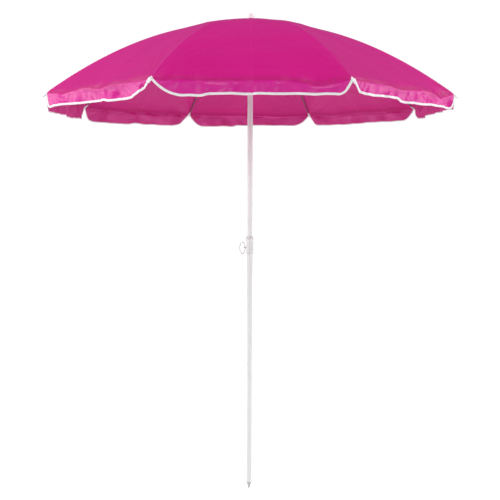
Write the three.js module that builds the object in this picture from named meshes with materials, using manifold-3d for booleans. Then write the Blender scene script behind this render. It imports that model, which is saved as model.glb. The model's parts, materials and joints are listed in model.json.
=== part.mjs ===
// A beach umbrella: a two-piece steel pole with a clamp and a ground spike, and a canopy of eight
// panels on eight steel ribs that a sliding runner opens and closes.
// Millimetres, +Z up. The origin is the point of the spike, and the canopy's front panel faces -Y.
import * as THREE from "three";
import { mergeVertices } from "three/addons/utils/BufferGeometryUtils.js";
import Module from "manifold-3d";

const wasm = await Module();
wasm.setup();

// ---- driving dimensions ----
const GORES = 8; // panels, ribs and stretchers
const CANOPY_R = 820; // pole axis to the canopy's edge, along a rib
const RIM_Z = 1609; // height of the canopy's edge
const RISE = 321; // edge to crown
const CURVE = 2; // power of the rib's curve: 1 is a cone, 2 a parabola
const CLOTH = 1.6; // thickness of the plain canopy solids
const SEAM_GAP = 0.25; // half the gap between neighbouring canopy solids
const CLOTH_INNER_R = 16; // edge of the hole at the crown
const VALANCE_DROP = 57;
const VALANCE_CORNER = 110; // width over which the valance's corner is rounded
const VALANCE_POWER = 2.3; // fullness of that rounding

const RIB_R = 2;
const RIB_DEPTH = 5.4; // canopy surface down to the rib's axis
const RIB_HINGE = new THREE.Vector2(13, 1920); // radius and height of a rib's hinge in the crown
const STRETCHER_AT = 340; // radius of the joint between rib and stretcher
const STRETCHER_SIDE = 3.6; // the stretcher lies this far beside its rib
const STRETCHER_THICK = 2.2;
const STRETCHER_HALF_WIDTH = 2.8;
const STRETCHER_LOW = 1.5; // its outer joint is this far below the rib's axis
const CAP_R = 2.7;
const CAP_REACH = 15; // how far a rib's capped tip stands out of the canopy's edge

const RUNNER_HINGE = new THREE.Vector2(18.5, 1690); // radius and height of a stretcher's runner joint
const LOWER_R = 12.5;
const UPPER_R = 11;
const WALL = 1;
const LOWER_TOP = 1030;
const UPPER_BOTTOM = 892;
const UPPER_TOP = 1911;
const SPIKE_TOP = 35;
const COLLAR_BOTTOM = 977;
const COLLAR_TOP = 1045;
const COLLAR_R = 15.5;
const SCREW_Z = 1001;
const SCREW_R = 3;
const CATCH_AZIMUTH = 102; // degrees, between two of the runner's slots
const CATCH_Z = 1645;
const TOTAL_HEIGHT = 1977;

const ROUND = 28; // facets of the pole's round pieces
const RAD = Math.PI / 180;
const STEP = 360 / GORES;
const FIRST_RIB = -90 - STEP / 2; // azimuth of rib 1: panel 1 then faces -Y

// ---- materials ----
const steel = (color) => new THREE.MeshStandardMaterial({ color, roughness: 0.35, metalness: 0.6 });
const moulded = (color) => new THREE.MeshStandardMaterial({ color, roughness: 0.45, metalness: 0 });
const WHITE_TUBE = steel(0xe8e8ea);
const DARK_STEEL = steel(0x4a4446);
const WHITE_PLASTIC = moulded(0xf0f0f0);
const GREY_PLASTIC = moulded(0xc8c8ca);
const CANOPY_CLOTH = new THREE.MeshStandardMaterial({
  color: 0xcc1f86,
  roughness: 0.6,
  metalness: 0,
  side: THREE.DoubleSide,
});

// ---- solids ----
// Merges a geometry's vertices, drops triangles that have collapsed and turns its faces outwards.
function closed(geometry) {
  const bare = geometry.clone();
  bare.deleteAttribute("normal");
  bare.deleteAttribute("uv");
  const merged = mergeVertices(bare, 1e-4);
  const p = merged.attributes.position;
  const kept = [];
  let volume = 0;
  const [a, b, c] = [new THREE.Vector3(), new THREE.Vector3(), new THREE.Vector3()];
  for (let i = 0; i < merged.index.count; i += 3) {
    const t = [0, 1, 2].map((k) => merged.index.getX(i + k));
    if (t[0] === t[1] || t[1] === t[2] || t[2] === t[0]) continue;
    kept.push(...t);
    a.fromBufferAttribute(p, t[0]);
    b.fromBufferAttribute(p, t[1]);
    c.fromBufferAttribute(p, t[2]);
    volume += a.dot(b.cross(c));
  }
  merged.setIndex(volume < 0 ? kept.reverse() : kept);
  merged.computeVertexNormals();
  return merged;
}

function solidOf(geometry) {
  const g = closed(geometry);
  return new wasm.Manifold(
    new wasm.Mesh({
      numProp: 3,
      vertProperties: new Float32Array(g.attributes.position.array),
      triVerts: new Uint32Array(g.index.array),
    }),
  );
}

function geometryOf(solid) {
  const m = solid.getMesh();
  const g = new THREE.BufferGeometry();
  g.setAttribute("position", new THREE.BufferAttribute(m.vertProperties, 3));
  g.setIndex(new THREE.BufferAttribute(m.triVerts, 1));
  return closed(g);
}

const join = (...parts) => geometryOf(parts.map(solidOf).reduce((s, t) => s.add(t)));
const cut = (part, ...tools) => geometryOf(tools.map(solidOf).reduce((s, t) => s.subtract(t), solidOf(part)));

// A solid turned about Z from [radius, height] points. A profile that leaves the axis returns to it.
function turned(points, facets = ROUND) {
  const profile = points.map(([r, z]) => new THREE.Vector2(r, z));
  return new THREE.LatheGeometry(profile, facets).rotateX(Math.PI / 2);
}

const ring = (inner, outer, low, high, facets) =>
  turned([[inner, low], [outer, low], [outer, high], [inner, high], [inner, low]], facets);

function box(x0, x1, y0, y1, z0, z1) {
  return new THREE.BoxGeometry(x1 - x0, y1 - y0, z1 - z0).translate((x0 + x1) / 2, (y0 + y1) / 2, (z0 + z1) / 2);
}

// A flat outline in the plane of radius and height, extruded sideways from y0 to y1.
function plate(shape, y0, y1, curveSegments = 6) {
  const g = new THREE.ExtrudeGeometry(shape, { depth: y1 - y0, bevelEnabled: false, curveSegments });
  return g.rotateX(Math.PI / 2).translate(0, y1, 0);
}

// A round rod along a curve.
function rod(curve, radius, steps, sides = 8) {
  const section = new THREE.Shape().absarc(0, 0, radius, 0, 2 * Math.PI);
  return new THREE.ExtrudeGeometry(section, { steps, extrudePath: curve, curveSegments: sides / 2 });
}

// A bar with round ends between two points of the plane of radius and height.
function capsule(from, to, radius) {
  const angle = Math.atan2(to.y - from.y, to.x - from.x);
  return new THREE.Shape()
    .absarc(from.x, from.y, radius, angle + Math.PI / 2, angle - Math.PI / 2, false)
    .absarc(to.x, to.y, radius, angle - Math.PI / 2, angle + Math.PI / 2, false);
}

// ---- the object as a scene graph ----
const umbrella = new THREE.Group();

function add(name, geometry, material, parent = umbrella) {
  const mesh = new THREE.Mesh(closed(geometry), material);
  mesh.name = name;
  parent.add(mesh);
  return mesh;
}

function spoke(azimuth) {
  const group = new THREE.Group();
  group.rotation.z = azimuth * RAD;
  umbrella.add(group);
  return group;
}

// ---- pole ----
function groundSpike() {
  const spigotR = LOWER_R - WALL - 0.4;
  return turned([[0, 0], [1.2, 0.8], [10.6, 31], [13.5, 31], [13.5, SPIKE_TOP - 0.3], [spigotR, SPIKE_TOP - 0.3],
    [spigotR, SPIKE_TOP + 40], [0, SPIKE_TOP + 40]]);
}

// The screw's axis runs along -X through the collar and the lower tube.
function screwHole(radius) {
  return new THREE.CylinderGeometry(radius, radius, 30, 12).rotateZ(Math.PI / 2).translate(-15, 0, SCREW_Z);
}

function lowerTube() {
  return cut(ring(LOWER_R - WALL, LOWER_R, SPIKE_TOP, LOWER_TOP), screwHole(SCREW_R + 0.6));
}

// A moulded sleeve with a lip at each end and a boss for the screw.
function clampCollar() {
  const bore = LOWER_R + 0.3;
  const seat = LOWER_R + 1.3; // wider at the top, for the liner
  const lip = 1.4;
  const body = turned([[bore, COLLAR_BOTTOM], [COLLAR_R + lip, COLLAR_BOTTOM], [COLLAR_R + lip, COLLAR_BOTTOM + 4],
    [COLLAR_R, COLLAR_BOTTOM + 7], [COLLAR_R, COLLAR_TOP - 9], [COLLAR_R + lip / 2, COLLAR_TOP - 7],
    [COLLAR_R + lip / 2, COLLAR_TOP - 4], [COLLAR_R - 0.6, COLLAR_TOP], [seat, COLLAR_TOP],
    [seat, LOWER_TOP + 0.5], [bore, LOWER_TOP + 0.5], [bore, COLLAR_BOTTOM]]);
  const boss = new THREE.CylinderGeometry(6.5, 7.5, 5, 16).rotateZ(Math.PI / 2).translate(-16.5, 0, SCREW_Z);
  return cut(join(body, cut(boss, ring(0.01, bore + 0.5, COLLAR_BOTTOM, COLLAR_TOP))), screwHole(SCREW_R + 0.3));
}

// The guide ring that keeps the thinner upper tube centred in the collar.
function poleLiner() {
  const inner = UPPER_R + 0.4;
  const outer = LOWER_R + 0.9;
  return turned([[inner, LOWER_TOP + 1], [outer, LOWER_TOP + 1], [outer, COLLAR_TOP + 0.4],
    [outer + 1.4, COLLAR_TOP + 0.4], [outer + 1.4, COLLAR_TOP + 2], [outer + 0.6, COLLAR_TOP + 3.2],
    [inner, COLLAR_TOP + 3.2], [inner, LOWER_TOP + 1]]);
}

function clampScrew() {
  const tip = UPPER_R + 0.4;
  const end = 19.6;
  return new THREE.CylinderGeometry(SCREW_R, SCREW_R, end - tip, 12).rotateZ(Math.PI / 2)
    .translate(-(tip + end) / 2, 0, SCREW_Z);
}

// An oval loop in the XZ plane, with a short hub that grips the screw's end.
function thumbRing() {
  const middle = -32;
  const oval = new THREE.EllipseCurve(0, 0, 9.4, 23.4);
  const loop = new THREE.Shape().absellipse(0, 0, 12, 26, 0, 2 * Math.PI);
  loop.holes.push(new THREE.Path().absellipse(0, 0, 2 * oval.xRadius - 12, 2 * oval.yRadius - 26, 0, 2 * Math.PI));
  const bar = new THREE.ExtrudeGeometry(loop, {
    depth: 2.6,
    curveSegments: 12,
    bevelEnabled: true,
    bevelThickness: 1.2,
    bevelSize: 0.9,
    bevelOffset: -0.9,
    bevelSegments: 1,
  }).rotateX(Math.PI / 2).translate(middle, 1.3, SCREW_Z);
  const hub = new THREE.CylinderGeometry(5, 4.2, 4.6, 12).rotateZ(Math.PI / 2).translate(-22.4, 0, SCREW_Z);
  return join(bar, hub);
}

const alongCatch = (geometry) => geometry.rotateZ(CATCH_AZIMUTH * RAD);

function upperTube() {
  const window = alongCatch(box(6, 16, -3.1, 3.1, CATCH_Z - 5.1, CATCH_Z + 5.1));
  return cut(ring(UPPER_R - WALL, UPPER_R, UPPER_BOTTOM, UPPER_TOP), window);
}

function tubePlug() {
  const inside = UPPER_R - WALL - 0.4;
  return turned([[0, UPPER_BOTTOM - 8], [UPPER_R - 1, UPPER_BOTTOM - 8], [UPPER_R + 0.1, UPPER_BOTTOM - 6],
    [UPPER_R + 0.1, UPPER_BOTTOM - 0.3], [inside, UPPER_BOTTOM - 0.3], [inside, UPPER_BOTTOM + 18],
    [0, UPPER_BOTTOM + 18]]);
}

// A tooth that stands out of the upper tube under the open runner, on a foot that holds it in.
function catchButton() {
  const side = new THREE.Shape([[4, -8], [5.6, -8], [5.6, -4.5], [13.4, -4.5], [14.4, -3], [14.4, 3], [12.5, 4.5],
    [5.6, 4.5], [5.6, 8], [4, 8]].map(([r, z]) => new THREE.Vector2(r, CATCH_Z + z)));
  return alongCatch(plate(side, -2.5, 2.5));
}

// ---- crown ----
// A slotted disc on the upper tube's end: each slot takes one rib's hinge end.
function crownNotch() {
  const top = UPPER_TOP + 15.4;
  const foot = UPPER_TOP - 24;
  const floor = UPPER_TOP + 2;
  const body = turned([[0, foot], [UPPER_R - WALL - 0.3, foot], [UPPER_R - WALL - 0.3, UPPER_TOP + 0.3],
    [13, UPPER_TOP + 0.3], [18, UPPER_TOP + 3], [18, top - 2], [16.5, top], [3.5, top], [3.5, floor], [0, floor]]);
  const slots = [];
  for (let k = 0; k < GORES; k++)
    slots.push(box(8.6, 25, -2.2, 2.2, UPPER_TOP - 5, top + 5).rotateZ((FIRST_RIB + k * STEP) * RAD));
  return cut(body, ...slots);
}

function finial() {
  const base = UPPER_TOP + 21.4;
  const foot = UPPER_TOP + 5;
  return turned([[0, foot], [3.2, foot], [3.2, base - 1.6], [14.2, base - 1.6], [15, base], [15, TOTAL_HEIGHT - 7],
    [13.6, TOTAL_HEIGHT - 2.4], [10.6, TOTAL_HEIGHT], [0, TOTAL_HEIGHT]]);
}

// ---- runner ----
// A sleeve that slides on the upper tube. Its flange has a slot for each stretcher, open below and
// outside, and a keyway lets it pass the catch.
function runner() {
  const bore = UPPER_R + 0.5;
  const sleeve = 14.6;
  const [low, high] = [1655, 1706];
  const { y: z } = RUNNER_HINGE;
  const body = turned([[bore, low], [sleeve + 1, low], [sleeve + 1, low + 4], [sleeve, low + 7], [sleeve, z - 6],
    [23.5, z - 6], [23.5, z + 6], [sleeve, z + 6], [sleeve, high], [bore, high], [bore, low]]);
  const boss = alongCatch(box(sleeve - 1.5, 18, -5, 5, low, z));
  const keyway = alongCatch(box(8, 15.6, -3.2, 3.2, low - 5, high + 5));
  const slots = [];
  for (let k = 0; k < GORES; k++) {
    const slot = box(sleeve + 0.1, 30, STRETCHER_SIDE - 1.8, STRETCHER_SIDE + 1.8, z - 10, z + 10);
    slots.push(slot.rotateZ((FIRST_RIB + k * STEP) * RAD));
  }
  return cut(join(body, boss), keyway, ...slots);
}

// ---- ribs and stretchers, each in its spoke's frame: X outwards, Y to its left, Z up ----
const canopyZ = (r) => RIM_Z + RISE * (1 - (r / CANOPY_R) ** CURVE);
const RIM_SLOPE = (RISE * CURVE) / CANOPY_R; // fall over run at the edge

// The rib's axis: level out of the crown, then just under the cloth, and straight past the edge.
const ribZ = (r) => {
  const under = canopyZ(Math.min(r, CANOPY_R)) - RIB_DEPTH - Math.max(0, r - CANOPY_R) * RIM_SLOPE;
  const out = Math.min(1, (r - RIB_HINGE.x) / 60);
  return RIB_HINGE.y * (1 - out) + under * out;
};

class RibCurve extends THREE.Curve {
  constructor(from, to) {
    super();
    this.from = from;
    this.to = to;
  }
  getPoint(t, target = new THREE.Vector3()) {
    const r = this.from + t * (this.to - this.from);
    return target.set(r, 0, ribZ(r));
  }
}

function rib() {
  const tipR = CANOPY_R + CAP_REACH / Math.hypot(1, RIM_SLOPE);
  const wire = rod(new RibCurve(20, CANOPY_R - 2), RIB_R, 12);
  const cap = rod(new RibCurve(CANOPY_R - 3, tipR), CAP_R, 2);
  const hinge = capsule(RIB_HINGE, new THREE.Vector2(26, ribZ(26)), 3);
  hinge.holes.push(new THREE.Path().absarc(RIB_HINGE.x, RIB_HINGE.y, 1.3, 0, 2 * Math.PI));
  return join(wire, cap, plate(hinge, -1.5, 1.5, 5));
}

function stretcher() {
  const outer = new THREE.Vector2(STRETCHER_AT, ribZ(STRETCHER_AT) - STRETCHER_LOW);
  const bar = capsule(RUNNER_HINGE, outer, STRETCHER_HALF_WIDTH);
  return plate(bar, STRETCHER_SIDE - STRETCHER_THICK / 2, STRETCHER_SIDE + STRETCHER_THICK / 2, 4);
}

// ---- canopy ----
// Half a panel in its rib's frame. Level lines join neighbouring ribs, so a point is a share v of the
// way from the rib at radius r to the panel's middle line.
function panelPoint(r, v, target = new THREE.Vector3()) {
  const inwards = (r * (1 - Math.cos(STEP * RAD))) / 2;
  const sideways = (r * Math.sin(STEP * RAD)) / 2;
  return target.set(r - v * inwards, v * sideways, canopyZ(r));
}

// A closed solid between a grid of points and the same grid moved by shift.
function slab(grid, shift) {
  const rows = grid.length;
  const columns = grid[0].length;
  const flat = grid.flat();
  const points = [...flat, ...flat.map((p) => p.clone().add(shift))];
  const index = [];
  const quad = (a, b, c, d) => index.push(a, b, c, a, c, d);
  const at = (i, j) => i * columns + j;
  const under = rows * columns;
  for (let i = 0; i + 1 < rows; i++)
    for (let j = 0; j + 1 < columns; j++) {
      const corners = [at(i, j), at(i + 1, j), at(i + 1, j + 1), at(i, j + 1)];
      quad(...corners);
      quad(...corners.reverse().map((n) => n + under));
    }
  const edge = [];
  for (let i = 0; i < rows; i++) edge.push(at(i, 0));
  for (let j = 1; j < columns; j++) edge.push(at(rows - 1, j));
  for (let i = rows - 2; i >= 0; i--) edge.push(at(i, columns - 1));
  for (let j = columns - 2; j > 0; j--) edge.push(at(0, j));
  edge.forEach((a, n) => {
    const b = edge[(n + 1) % edge.length];
    quad(b, a, a + under, b + under);
  });
  const g = new THREE.BufferGeometry().setFromPoints(points);
  g.setIndex(index);
  return g;
}

// side is 1 for the half on the rib's left and -1 for the half on its right.
function halfPanel(side) {
  const rows = 11;
  const grid = [];
  for (let i = 0; i < rows; i++) {
    const r = CLOTH_INNER_R + (CANOPY_R - CLOTH_INNER_R) * (i / (rows - 1)) ** 0.85;
    const width = (r * Math.sin(STEP * RAD)) / 2;
    const trim = SEAM_GAP / width;
    grid.push([trim, 0.5, 1 - trim].map((v) => panelPoint(r, v).multiply(new THREE.Vector3(1, side, 1))));
  }
  return slab(grid, new THREE.Vector3(0, 0, -CLOTH));
}

// Half a valance flap: it hangs straight down from the canopy's edge, and its corner at the rib is rounded.
const valanceDrop = (t) => VALANCE_DROP * (1 - Math.max(0, 1 - t / VALANCE_CORNER) ** VALANCE_POWER);

function halfValance(side) {
  const length = CANOPY_R * Math.sin((STEP / 2) * RAD);
  const outwards = new THREE.Vector3(Math.cos((STEP / 2) * RAD), Math.sin((STEP / 2) * RAD) * side, 0);
  const columns = [8, 22, 40, 62, 86, VALANCE_CORNER, length - SEAM_GAP];
  const top = CLOTH + 0.5; // clears the panel above
  const grid = columns.map((t) =>
    [top, Math.max(top + 1, valanceDrop(t))].map((drop) => {
      const p = panelPoint(CANOPY_R, t / length).multiply(new THREE.Vector3(1, side, 1));
      p.z -= drop;
      return p;
    }),
  );
  return slab(grid, outwards.multiplyScalar(-CLOTH));
}

// ---- assembly ----
add("ground_spike", groundSpike(), GREY_PLASTIC);
add("lower_tube", lowerTube(), WHITE_TUBE);
add("clamp_collar", clampCollar(), WHITE_PLASTIC);
add("clamp_screw", clampScrew(), WHITE_TUBE);
add("thumb_ring", thumbRing(), WHITE_PLASTIC);
add("pole_liner", poleLiner(), WHITE_PLASTIC);
add("tube_plug", tubePlug(), WHITE_PLASTIC);
add("upper_tube", upperTube(), WHITE_TUBE);
add("catch_button", catchButton(), DARK_STEEL);
add("crown_notch", crownNotch(), WHITE_PLASTIC);
add("finial", finial(), WHITE_PLASTIC);
add("runner", runner(), WHITE_PLASTIC);

for (let k = 1; k <= GORES; k++) {
  const here = spoke(FIRST_RIB + (k - 1) * STEP);
  const previous = k === 1 ? GORES : k - 1;
  add(`rib_${k}`, rib(), DARK_STEEL, here);
  add(`stretcher_${k}`, stretcher(), DARK_STEEL, here);
  add(`panel_${k}_left`, halfPanel(1), CANOPY_CLOTH, here);
  add(`panel_${previous}_right`, halfPanel(-1), CANOPY_CLOTH, here);
  add(`valance_${k}_left`, halfValance(1), CANOPY_CLOTH, here);
  add(`valance_${previous}_right`, halfValance(-1), CANOPY_CLOTH, here);
}

export default umbrella;
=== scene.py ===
"""Looks of a beach umbrella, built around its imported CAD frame. Metres, +Z up."""
import json
import math

import bmesh
import bpy
import numpy as np
from mathutils import Matrix, Vector


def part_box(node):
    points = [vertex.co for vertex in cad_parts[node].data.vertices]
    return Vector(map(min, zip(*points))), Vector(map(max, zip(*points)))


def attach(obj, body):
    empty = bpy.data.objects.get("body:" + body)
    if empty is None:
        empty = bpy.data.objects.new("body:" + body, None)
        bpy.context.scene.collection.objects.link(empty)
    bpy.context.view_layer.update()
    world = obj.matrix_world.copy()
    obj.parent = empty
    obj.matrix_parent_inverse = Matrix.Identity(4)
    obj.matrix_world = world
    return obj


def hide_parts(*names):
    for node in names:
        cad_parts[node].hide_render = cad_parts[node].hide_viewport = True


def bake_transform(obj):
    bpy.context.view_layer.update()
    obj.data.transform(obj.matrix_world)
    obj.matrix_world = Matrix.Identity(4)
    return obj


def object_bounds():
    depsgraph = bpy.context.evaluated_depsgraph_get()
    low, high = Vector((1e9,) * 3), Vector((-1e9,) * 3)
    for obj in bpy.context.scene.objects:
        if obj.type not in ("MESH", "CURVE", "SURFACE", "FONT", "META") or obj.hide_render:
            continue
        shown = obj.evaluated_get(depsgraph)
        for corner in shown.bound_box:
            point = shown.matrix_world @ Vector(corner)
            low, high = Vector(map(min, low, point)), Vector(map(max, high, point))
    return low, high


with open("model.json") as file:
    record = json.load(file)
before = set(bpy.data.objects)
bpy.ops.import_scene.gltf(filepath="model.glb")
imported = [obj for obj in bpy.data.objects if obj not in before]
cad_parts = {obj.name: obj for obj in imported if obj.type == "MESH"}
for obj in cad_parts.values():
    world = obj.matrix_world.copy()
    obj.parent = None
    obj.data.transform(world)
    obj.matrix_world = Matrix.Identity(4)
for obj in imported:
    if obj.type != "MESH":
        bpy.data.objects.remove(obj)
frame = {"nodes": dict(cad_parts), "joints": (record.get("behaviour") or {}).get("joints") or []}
CAD_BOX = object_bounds()
MM = 0.001

# ---- sizes, worked out from the frame ----
GORES = 8
SECTOR = 2 * math.pi / GORES
CLOTH_CAD = 1.6 * MM  # thickness of the plain canopy solids
CANOPY_R = -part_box("panel_1_left")[0].y / math.cos(SECTOR / 2)
RIM_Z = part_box("panel_1_left")[0].z + CLOTH_CAD
CURVE = 2.0  # power of the rib's curve
CLOTH_INNER_R = 16 * MM
RISE = (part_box("panel_1_left")[1].z - RIM_Z) / (1 - (CLOTH_INNER_R / CANOPY_R) ** CURVE)
HALF_RIM = CANOPY_R * math.sin(SECTOR / 2)
VALANCE_DROP = RIM_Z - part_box("valance_1_left")[0].z
VALANCE_POWER = 2.3
CLOTH = 0.5 * MM
JOINTS = {joint["name"]: joint for joint in frame["joints"]}
RIB_DEPTH = 5.4 * MM  # of a rib's axis below the cloth
RIB_R = 2 * MM
RIB_END = 818 * MM  # radius of a rib wire's end
STRETCHER_SIDE = 3.6 * MM  # how far beside its rib a stretcher lies
SMOOTH_ANGLE = 40  # degrees: sharper edges stay sharp


def mm(*points, at=(0, 0)):
    """Points given in millimetres from a place, in metres."""
    return [tuple(start + value * MM for start, value in zip(at, point)) for point in points]


def spoke_point(joint):
    """Radius and height of a rib 1 joint, from its place in the frame."""
    x, y, z = JOINTS[joint]["pos_m"]
    return math.hypot(x, y), z


RIB_HINGE = spoke_point("rib_1_fold")
RIVET = spoke_point("stretcher_1_fold")
RUNNER_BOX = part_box("runner")
RING_R = 18.5 * MM  # the ring wire in the runner
RING_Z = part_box("stretcher_1")[0].z + 2.8 * MM
TUBE_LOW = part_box("lower_tube")
TUBE_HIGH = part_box("upper_tube")
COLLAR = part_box("clamp_collar")
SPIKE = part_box("ground_spike")
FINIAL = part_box("finial")
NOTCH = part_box("crown_notch")
CAP_END = 832.4 * MM  # radius of a rib cap's end


def rib_azimuth(k):
    """Azimuth of rib k: panel 1, between ribs 1 and 2, faces -Y."""
    return -math.pi / 2 - SECTOR / 2 + (k - 1) * SECTOR


def canopy_z(r):
    """Height of the plain canopy over a rib, at radius r."""
    return RIM_Z + RISE * (1 - (np.minimum(r, CANOPY_R) / CANOPY_R) ** CURVE)


RIM_SLOPE = RISE * CURVE / CANOPY_R


def rib_z(r):
    """Height of a rib's axis at radius r."""
    under = canopy_z(r) - RIB_DEPTH - np.maximum(0, r - CANOPY_R) * RIM_SLOPE
    out = np.minimum(1, (r - RIB_HINGE[0]) / (60 * MM))
    return RIB_HINGE[1] * (1 - out) + under * out


def turned(points, azimuth):
    """Points of a spoke's or a panel's frame, X outwards, in the row frame."""
    c, s = math.cos(azimuth), math.sin(azimuth)
    p = np.asarray(points, float)
    return np.stack([c * p[..., 0] - s * p[..., 1], s * p[..., 0] + c * p[..., 1], p[..., 2]], -1)


def smooth(x):
    """0 to 1 as x goes from 0 to 1, level at both ends."""
    x = np.clip(x, 0, 1)
    return x * x * (3 - 2 * x)


def eased(distance, over):
    """0 to 1, smoothly, as a distance in metres grows from nothing to so many millimetres."""
    return smooth(distance / (over * MM))


def circle(count):
    """Points of the unit circle."""
    angles = np.linspace(0, 2 * math.pi, count, endpoint=False)
    return np.stack([np.cos(angles), np.sin(angles)], 1)


# ---- meshes ----
def make(name, points, faces, materials, smooth_angle=SMOOTH_ANGLE, face_slots=None, uv=None):
    """A mesh object from points and faces, smooth but for edges sharper than smooth_angle."""
    mesh = bpy.data.meshes.new(name)
    mesh.from_pydata([tuple(p) for p in np.asarray(points, float)], [], [tuple(f) for f in faces])
    for material in materials:
        mesh.materials.append(material)
    if face_slots is not None:
        mesh.polygons.foreach_set("material_index", np.asarray(face_slots, np.int32))
    if uv is not None:
        layer = mesh.uv_layers.new(name="flat")
        corners = np.zeros(len(mesh.loops), np.int32)
        mesh.loops.foreach_get("vertex_index", corners)
        layer.data.foreach_set("uv", np.asarray(uv, np.float32)[corners].ravel())
    mesh.polygons.foreach_set("use_smooth", np.ones(len(mesh.polygons), bool))
    mesh.set_sharp_from_angle(angle=math.radians(smooth_angle))
    mesh.update()
    piece = bpy.data.objects.new(name, mesh)
    bpy.context.scene.collection.objects.link(piece)
    return piece


def outwards(piece):
    """Turns a closed mesh's faces outwards."""
    bm = bmesh.new()
    bm.from_mesh(piece.data)
    bmesh.ops.recalc_face_normals(bm, faces=bm.faces)
    bm.to_mesh(piece.data)
    bm.free()
    return piece


def lathe(name, profile, material, segments=72):
    """A solid turned about the Z axis. The profile closes on itself, or starts and ends on it."""
    points, rings = [], []
    for r, z in profile:
        if r < 1e-7:
            rings.append([len(points)])
            points.append((0, 0, z))
        else:
            rings.append(list(range(len(points), len(points) + segments)))
            for i in range(segments):
                a = 2 * math.pi * i / segments
                points.append((r * math.cos(a), r * math.sin(a), z))
    on_axis = len(rings[0]) == 1
    pairs = list(zip(rings, rings[1:])) + ([] if on_axis else [(rings[-1], rings[0])])
    faces = []
    for low, high in pairs:
        for i in range(segments):
            j = (i + 1) % segments
            if len(low) == 1:
                faces.append((low[0], high[j], high[i]))
            elif len(high) == 1:
                faces.append((low[i], low[j], high[0]))
            else:
                faces.append((low[i], low[j], high[j], high[i]))
    return outwards(make(name, points, faces, [material]))


def arc(centre, radius, start, end, steps=6):
    """Points of a circle's arc in the plane of radius and height; angles in degrees."""
    angles = np.radians(np.linspace(start, end, steps + 1))
    return [(centre[0] + radius * math.cos(a), centre[1] + radius * math.sin(a)) for a in angles]


def sweep(name, path, across, up, section, materials, smooth_angle=45, uv=None, closed=False):
    """A solid whose section, points (across, up), is carried along a path with directions of its own."""
    path, across, up = (np.asarray(v, float) for v in (path, across, up))
    n, m = len(path), len(section)
    points = np.concatenate([path[i] + np.outer([s[0] for s in section], across[i])
                             + np.outer([s[1] for s in section], up[i]) for i in range(n)])
    faces = []
    for i in range(n if closed else n - 1):
        j = (i + 1) % n
        for a in range(m):
            b = (a + 1) % m
            faces.append((i * m + a, i * m + b, j * m + b, j * m + a))
    if not closed:
        faces.append(tuple(range(m)))
        faces.append(tuple(range((n - 1) * m, n * m)))
    return outwards(make(name, points, faces, materials, smooth_angle, uv=uv))


def tube_along(name, path, radius, material, sides=14, closed=False):
    """A round rod along points in the row frame. radius is a number or one for each point."""
    path = np.asarray(path, float)
    n = len(path)
    radius = np.broadcast_to(radius, n)
    ahead = np.roll(path, -1, 0) - np.roll(path, 1, 0) if closed else np.gradient(path, axis=0)
    ahead /= np.linalg.norm(ahead, axis=1)[:, None]
    side = np.cross(ahead, [0, 0, 1.0])
    side /= np.linalg.norm(side, axis=1)[:, None]
    lift = np.cross(side, ahead)
    side *= radius[:, None]
    lift *= radius[:, None]
    return sweep(name, path, side, lift, circle(sides), [material], closed=closed)


def joined(name, pieces):
    """One object from several."""
    with bpy.context.temp_override(active_object=pieces[0], selected_editable_objects=pieces,
                                   selected_objects=pieces, object=pieces[0]):
        bpy.ops.object.join()
    pieces[0].name = pieces[0].data.name = name
    return pieces[0]


def modified(piece, kind, **settings):
    """Adds a modifier and applies it."""
    modifier = piece.modifiers.new(kind.lower(), kind)
    for key, value in settings.items():
        setattr(modifier, key, value)
    graph = bpy.context.evaluated_depsgraph_get()
    mesh = bpy.data.meshes.new_from_object(piece.evaluated_get(graph))
    piece.modifiers.clear()
    old, piece.data = piece.data, mesh
    bpy.data.meshes.remove(old)
    return piece


def block(name, x, y, z, azimuth=0.0):
    """A plain box between three pairs of limits: a cutting tool."""
    corners = [(x[i], y[j], z[k]) for k in (0, 1) for j in (0, 1) for i in (0, 1)]
    faces = [(0, 2, 3, 1), (4, 5, 7, 6), (0, 1, 5, 4), (2, 6, 7, 3), (0, 4, 6, 2), (1, 3, 7, 5)]
    return make(name, turned(corners, azimuth), faces, [])


def prism(name, outline, half_thick, side, material):
    """A flat solid from its outline, points (radius, height), lying to one side of a spoke's plane."""
    n = len(outline)
    points = [(x, side + y, z) for y in (-half_thick, half_thick) for x, z in outline]
    faces = [tuple(range(n)), tuple(range(2 * n - 1, n - 1, -1))]
    faces += [(a, a + n, (a + 1) % n + n, (a + 1) % n) for a in range(n)]
    return outwards(make(name, points, faces, [material]))


def cut(piece, *tools):
    """Cuts closed tools out of a piece, and removes the tools."""
    for tool in tools:
        modified(piece, "BOOLEAN", object=tool, operation="DIFFERENCE", solver="EXACT")
        bpy.data.objects.remove(tool)
    piece.data.polygons.foreach_set("use_smooth", np.ones(len(piece.data.polygons), bool))
    piece.data.set_sharp_from_angle(angle=math.radians(SMOOTH_ANGLE))
    return piece


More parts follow.
